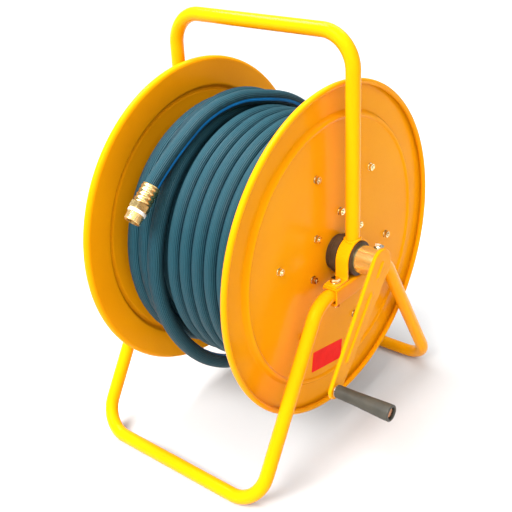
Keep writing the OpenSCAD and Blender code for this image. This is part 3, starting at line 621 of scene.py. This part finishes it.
FLANGE_X = 138.5
for kind, radius, first, seat in (("drum", 142.5, 50, 135.5), ("hub", 64.7, 21, 133.0)):
    nuts, bolts = Shape(), Shape()
    for place in bolt_places(radius, first):
        nuts.put(*lathe([(3.1, 0.02), (6.2, 0.02), (6.2, 0.8), (5.9, 1.2), (3.1, 1.2)], 28),
                 place @ shift(0, 0, FLANGE_X))
        nuts.put(*hex_head(10, 4.8, 3.0), place @ shift(0, 0, FLANGE_X + 1.2))
        bolts.put(*screw_thread(2.95, FLANGE_X + 1, FLANGE_X + 8, 1.0, 0.45, 16, 4), place)
        bolts.put(*lathe([(3, seat), (3, FLANGE_X + 2)], 16), place)
        bolts.put(*hex_head(10, 4), place @ shift(0, 0, seat - 4))
    nuts.make(f"{kind}_nut_set", "reel", "yellow_zinc", ZINC, (f"{kind}_nuts",))
    bolts.make(f"{kind}_bolt_set", "reel", "yellow_zinc", ZINC, (f"{kind}_bolts",))

# ---------------------------------------------------------------- straps, channels and their bolts
FRAME_X, CHANNEL_TOP, CHANNEL_H = 169.0, -27.2, 28.4
NUT_TOP = CHANNEL_TOP - CHANNEL_H - 1.6


def strap_outline():
    """Omega section: foot, small bend, arch over the bush, small bend, foot."""
    inner, outer, foot, t = 27.1, 30.1, 60.0, 3.0
    top, low = CHANNEL_TOP + t, CHANNEL_TOP
    right_side = [(foot, low), (foot, top)] + arc2((outer + 2.2, top + 2.2), 2.2, 270, 180, 5)
    over = arc2((0, 0), outer, 0, 180, 40)
    left_side = [(-x, y) for x, y in right_side[::-1]]
    inner_line = [(-inner, low)] + arc2((0, 0), inner, 180, 0, 40) + [(inner, low)]
    return right_side + over + left_side + inner_line


def channel_outline():
    """Section of the folded channel, open towards the reel, as (along X, up)."""
    x0, x1 = 157.2, 183.2
    low, top, r, t = CHANNEL_TOP - CHANNEL_H, CHANNEL_TOP, 4.5, 3.0
    outer = ([(x0, low)] + arc2((x1 - r, low + r), r, -90, 0, 6)
             + arc2((x1 - r, top - r), r, 0, 90, 6) + [(x0, top)])
    inner = ([(x0, top - t)] + arc2((x1 - r, top - r), r - t, 90, 0, 4)
             + arc2((x1 - r, low + r), r - t, 0, -90, 4) + [(x0, low + t)])
    return outer + inner


rotate_section = Matrix(((1, 0, 0, 0), (0, 0, -1, 0), (0, 1, 0, 0), (0, 0, 0, 1)))
for sign, name in ((1, "right"), (-1, "left")):
    mirror = Matrix.Identity(4) if sign > 0 else flip_x
    Shape().put(*extrude(strap_outline(), 22), mirror @ shift(FRAME_X - 11, 0, 0) @ along_x).make(
        f"strap_{name}_plate", "stand", "frame_paint", PAINT_FRAME, (f"strap_{name}",), angle=40, bevel=0.7)
    # the channels take the darkened reel paint: painted shade on their outward faces
    Shape().put(*extrude(channel_outline(), 124), mirror @ shift(0, 62, 0) @ rotate_section).make(
        f"channel_{name}_plate", "stand", "frame_paint", PAINT_REEL_SHADED, (f"channel_{name}",),
        angle=40, bevel=0.5)

bolts, washers, nuts = Shape(), Shape(), Shape()
for sx in (-1, 1):
    for y in (-46, 46):
        place = shift(sx * FRAME_X, y, 0)
        spin = place @ turn_z(11 * sx + y)
        bolts.put(*hex_head(13, 5.3), spin @ shift(0, 0, CHANNEL_TOP + 3 + 1.6))
        bolts.put(*lathe([(4, NUT_TOP), (4, CHANNEL_TOP + 5)], 24), place)
        down = place @ shift(0, 0, NUT_TOP) @ Matrix.Rotation(math.pi, 4, "X")
        bolts.put(*screw_thread(3.95, -1, 9, 1.25, 0.55, 20, 4), down)
        nuts.put(*hex_head(13, 6.5, 4.0), down)
        for z in (CHANNEL_TOP + 3, NUT_TOP):
            washers.put(*lathe([(4.2, 0), (7.7, 0), (8, 0.3), (8, 1.3), (7.7, 1.6), (4.2, 1.6)], 36, True),
                        place @ shift(0, 0, z))
bolts.make("strap_bolt_set", "stand", "yellow_zinc", ZINC, ("strap_bolts",))
washers.make("strap_washer_set", "stand", "yellow_zinc", ZINC, ("strap_washers",))
nuts.make("strap_nut_set", "stand", "yellow_zinc", ZINC, ("strap_nuts",))


# ---------------------------------------------------------------- weld beads
def bead(points, radius, name, closed=True, seed=0):
    """Rippled weld bead along points."""
    if closed:
        points = points + [points[0], points[1]]
    centre = sum(points, Vector()) / len(points)
    ups = [p - centre for p in points]

    def ripple(i):
        return radius * (1 + 0.16 * math.sin(i * 1.9) + 0.18 * noise.noise(Vector((i * 0.33, seed, 2.2))))

    weld = sweep(points, ups, ripple, 10, 1.0, not closed)
    Shape().put(weld[0], weld[1]).make(name, "stand", "frame_paint", PAINT_FRAME, angle=75)


for sign, name in ((1, "right"), (-1, "left")):
    ring = []
    for k in range(84):
        a = 2 * math.pi * k / 84
        x, y = 11.6 * math.cos(a), 11.6 * math.sin(a)
        x = max(-10.6, min(10.6, x))
        ring.append(Vector((sign * (FRAME_X + x), y, math.sqrt(30.4 ** 2 - y * y))))
    bead(ring, 1.9, f"handle_weld_{name}", seed=sign)
    leg_z = CHANNEL_TOP - CHANNEL_H / 2
    for fy, side in ((-1, "front"), (1, "rear")):
        for level, up, wave, seed in (("upper", 1, 0.6, 3), ("lower", -1, 0.7, 5)):
            run = [Vector((sign * (157.4 + 0.4 * math.sin(i * wave)), fy * (34 + 1.0 * i), leg_z + up * 9.6))
                   for i in range(27)]
            bead(run, 1.7, f"leg_weld_{side}_{name}_{level}", False, seed + fy)

# ---------------------------------------------------------------- crank
CRANK_ANGLE, CRANK_LEN = 52.6, 197.0
ARM_R1, ARM_R2, ARM_T, FOLD, CORNER = 25.0, 14.0, 2.5, 5.6, 2.0
ARM_FACE = 221.8
at_crank = turn_x(180 + CRANK_ANGLE)
GRIP_X, GRIP_END = 223.9, 315.9


def slot_height(s, t, s0, s1, half, soft, rise):
    """Pressed rib: a rounded slot along the arm."""
    ds = max(s0 - s, 0, s - s1)
    d = math.hypot(ds, t)
    return rise * (1 - smooth((d - half) / soft + 0.5))


def arm_outline():
    """The arm's outline as (place along the middle line, angle, distance from it)."""
    tilt = math.asin((ARM_R1 - ARM_R2) / CRANK_LEN)
    narrow = ARM_R2 - ARM_R1
    outline = [(0.0, math.pi / 2 - tilt + (math.pi + 2 * tilt) * i / 40, ARM_R1) for i in range(41)]
    outline += [(CRANK_LEN * i / 60, 3 * math.pi / 2 + tilt, ARM_R1 + narrow * i / 60) for i in range(1, 60)]
    outline += [(CRANK_LEN, 3 * math.pi / 2 + tilt + (math.pi - 2 * tilt) * i / 30, ARM_R2)
                for i in range(31)]
    outline += [(CRANK_LEN * i / 60, math.pi / 2 - tilt, ARM_R1 + narrow * i / 60) for i in range(59, 0, -1)]
    return outline


def arm_shape():
    """Folded edge and both faces of the pressed arm, as rings from its outline to its middle line."""
    outline = arm_outline()
    n = len(outline)
    verts, rows = [], []

    def ring(reach, z, ribs=()):
        rows.append(list(range(len(verts), len(verts) + n)))
        for s, a, r in outline:
            q = reach(r)
            y, x = s + q * math.cos(a), q * math.sin(a)
            verts.append((y, x, z + sum(slot_height(y, x, *rib) for rib in ribs)))

    def edge(offset, z):
        ring(lambda r: r - offset, z)

    edge(ARM_T, ARM_FACE - FOLD)
    edge(0.3, ARM_FACE - FOLD)
    edge(0.0, ARM_FACE - FOLD + 0.4)
    edge(0.0, ARM_FACE - CORNER)
    for i in range(1, 7):
        a = math.radians(90 * i / 6)
        edge(CORNER * (1 - math.cos(a)), ARM_FACE - CORNER * (1 - math.sin(a)))
    for i in range(30, -1, -1):
        inset = 0.88 * i / 30
        ring(lambda r: r * inset, ARM_FACE, ((48, 150, 4.2, 2.0, 2.5), (-2, 18, 3.8, 2.0, 2.2)))
    faces = [[a[k], a[(k + 1) % n], b[(k + 1) % n], b[k]] for a, b in zip(rows, rows[1:]) for k in range(n)]
    # inner side of the fold and the back face
    del rows[1:]
    edge(ARM_T, ARM_FACE - ARM_T - 1.0)
    edge(ARM_T + 0.8, ARM_FACE - ARM_T)
    for i in range(9, -1, -1):
        ring(lambda r: (r - ARM_T - 0.8) * i / 10, ARM_FACE - ARM_T,
             ((48, 150, 3.0, 2.4, 2.0), (-2, 18, 2.2, 2.2, 1.7)))
    faces += [[b[k], b[(k + 1) % n], a[(k + 1) % n], a[k]] for a, b in zip(rows, rows[1:]) for k in range(n)]
    return verts, faces


Shape().put(*arm_shape(), at_crank @ along_x).make(
    "crank_arm_plate", "reel", "frame_paint", PAINT_REEL_SHADED, ("crank_arm",), angle=75)

bolt_top = at_crank @ Matrix.Rotation(math.pi / 2, 4, "X") @ shift(206, 0, 0)
Shape().put(*hex_head(13, 5.3), bolt_top @ shift(0, 0, 23.62)).put(
    *lathe([(4, 12), (4, 24)], 24), bolt_top).make(
    "crank_set_bolt_hex", "reel", "yellow_zinc", BRIGHT, ("crank_set_bolt",))
Shape().put(*lathe(
    [(4.1, 22.01), (7.5, 22.01), (7.8, 22.4), (7.8, 23.3), (7.5, 23.61), (4.1, 23.61)], 36, True),
    bolt_top).make("crank_set_washer_ring", "reel", "yellow_zinc", BRIGHT, ("crank_set_washer",))

at_grip = at_crank @ shift(0, CRANK_LEN, 0) @ along_x
Shape().put(*lathe(
    [(4.06, GRIP_X), (9.2, GRIP_X)] + arc2((9.2, GRIP_X + 0.8), 0.8, -90, 0, 4)
    + [(10.1, GRIP_X + 8), (10.4, GRIP_X + 30), (11.4, GRIP_X + 52), (12.2, GRIP_END - 22),
       (12.75, GRIP_END - 9), (12.8, GRIP_END - 2)] + arc2((11.3, GRIP_END - 1.5), 1.5, 10, 90, 5)
    + arc2((10.0, GRIP_END - 1.2), 1.2, 90, 180, 5)
    + [(8.8, GRIP_END - 8), (4.06, GRIP_END - 8)], 64, True), at_grip).make(
    "grip_handle", "grip", "grip_plastic", GRIP, ("grip",), angle=50)
Shape().put(*hex_head(13, 5.3), at_grip @ shift(0, 0, GRIP_END - 7.7)).put(
    *lathe([(4, 215), (4, GRIP_END - 7)], 24), at_grip).put(
    *screw_thread(3.95, -215, -210.3, 1.25, 0.5, 20, 4), at_grip @ Matrix.Rotation(math.pi, 4, "X")).make(
    "grip_bolt_hex", "reel", "yellow_zinc", COPPER, ("grip_bolt",))
Shape().put(*lathe(
    [(4.1, 221.81), (9.1, 221.81), (9.5, 222.2), (9.5, 223.2), (9.1, 223.61), (4.1, 223.61)], 40, True),
    at_grip).make("grip_washer_ring", "reel", "yellow_zinc", BRIGHT, ("grip_washer",))
Shape().put(*hex_head(13, 6.5, 4.0), at_grip @ shift(0, 0, 212.7)).make(
    "grip_nut_hex", "reel", "yellow_zinc", BRIGHT, ("grip_nut",))

# ---------------------------------------------------------------- sticker, plain
def rounded(w, h, r, n=6):
    return (arc2((w - r, h - r), r, 0, 90, n) + arc2((r - w, h - r), r, 90, 180, n)
            + arc2((r - w, r - h), r, 180, 270, n) + arc2((w - r, r - h), r, 270, 360, n))


sticker_place = shift(FLANGE_X + 0.02, -27, -175.5) @ turn_x(-9.4) @ along_x
Shape().put(*extrude(rounded(40, 17.5, 2.0), 0.3), sticker_place).make(
    "plain_sticker", "reel", "label_red", RED, ("label",), angle=30)

# ---------------------------------------------------------------- CAD nodes that keep their own shape
for node, material in {
    "top_handle": PAINT_FRAME, "front_leg_frame": PAINT_FRAME, "rear_leg_frame": PAINT_FRAME,
    "bush_right": BUSH, "bush_left": BUSH, "spacer_right": BUSH, "spacer_left": BUSH,
    "drum_shell": PAINT_REEL_SHADED, "hub_plate_right": STEEL, "hub_plate_left": STEEL,
    "axle_tube": ZINC_TUBE, "axle_baffle": STEEL, "inlet_stub": BRASS, "swivel_elbow": BRASS,
    "swivel_circlip": STEEL, "swivel_o_rings": SEAL, "outlet_riser": STEEL, "outlet_clamp": STEEL,
    "crank_hub": ZINC_TUBE,
}.items():
    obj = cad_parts[node]
    obj.data.materials.clear()
    obj.data.materials.append(material)
    for poly in obj.data.polygons:
        poly.material_index = 0

# ---------------------------------------------------------------- studio
def stage_material(name, colour, rough):
    m, t, b = new_material(name)
    t.links.new(ramp(t, noise_tex(t, 3, 3), [(0.3, tuple(c * 0.985 for c in colour)), (0.7, colour)]),
                b.inputs["Base Color"])
    sock(b, "Roughness", rough)
    sock(b, "Specular IOR Level", 0.1)
    return m


floor_mesh = bpy.data.meshes.new("floor")
FLOOR_R, FLOOR_SIDES = 60, 96
corners = [2 * math.pi * k / FLOOR_SIDES for k in range(FLOOR_SIDES)]
floor_mesh.from_pydata([(FLOOR_R * math.cos(a), FLOOR_R * math.sin(a), 0) for a in corners], [],
                       [list(range(FLOOR_SIDES))])
floor = bpy.data.objects.new("floor", floor_mesh)
bpy.context.scene.collection.objects.link(floor)
floor.location.z = -0.0004
floor_mesh.materials.append(stage_material("floor_pale", (0.61, 0.61, 0.61), 0.9))


def sun(name, towards, energy, angle):
    data = bpy.data.lights.new(name, "SUN")
    data.energy, data.angle = energy, math.radians(angle)
    obj = bpy.data.objects.new(name, data)
    bpy.context.scene.collection.objects.link(obj)
    obj.rotation_euler = Vector(towards).to_track_quat("Z", "Y").to_euler()


def area(name, place, target, size_x, size_y, power):
    data = bpy.data.lights.new(name, "AREA")
    data.shape, data.size, data.size_y, data.energy = "RECTANGLE", size_x, size_y, power
    obj = bpy.data.objects.new(name, data)
    bpy.context.scene.collection.objects.link(obj)
    obj.location = place
    obj.rotation_euler = (Vector(target) - Vector(place)).to_track_quat("-Z", "Y").to_euler()


sun("key", (-0.03, -0.70, 0.72), 5.0, 34)
sun("fill", (0.60, -0.56, 0.57), 1.46, 50)
area("top", (-0.2, 0.9, 2.3), (0, 0, 0.5), 1.4, 1.0, 14)
area("sheen", (-0.75, -0.15, 2.0), (-0.02, -0.05, 0.50), 0.8, 0.8, 44)

world = bpy.data.worlds.new("studio")
bpy.context.scene.world = world
world.use_nodes = True
wt = world.node_tree
tc = add(wt, "ShaderNodeTexCoord")
xyz = add(wt, "ShaderNodeSeparateXYZ")
wt.links.new(tc.outputs["Generated"], xyz.inputs[0])
sky = ramp(wt, span(wt, xyz.outputs[2], 0.0, 1.0, -0.1, 1.0),
           [(at, (grey, grey, grey)) for at, grey in ((0.0, 0.66), (0.16, 0.55), (0.40, 0.42), (1.0, 1.0))])
wt.links.new(sky, wt.nodes["Background"].inputs["Color"])
wt.nodes["Background"].inputs["Strength"].default_value = 0.66
bpy.context.scene.view_settings.view_transform = "Standard"
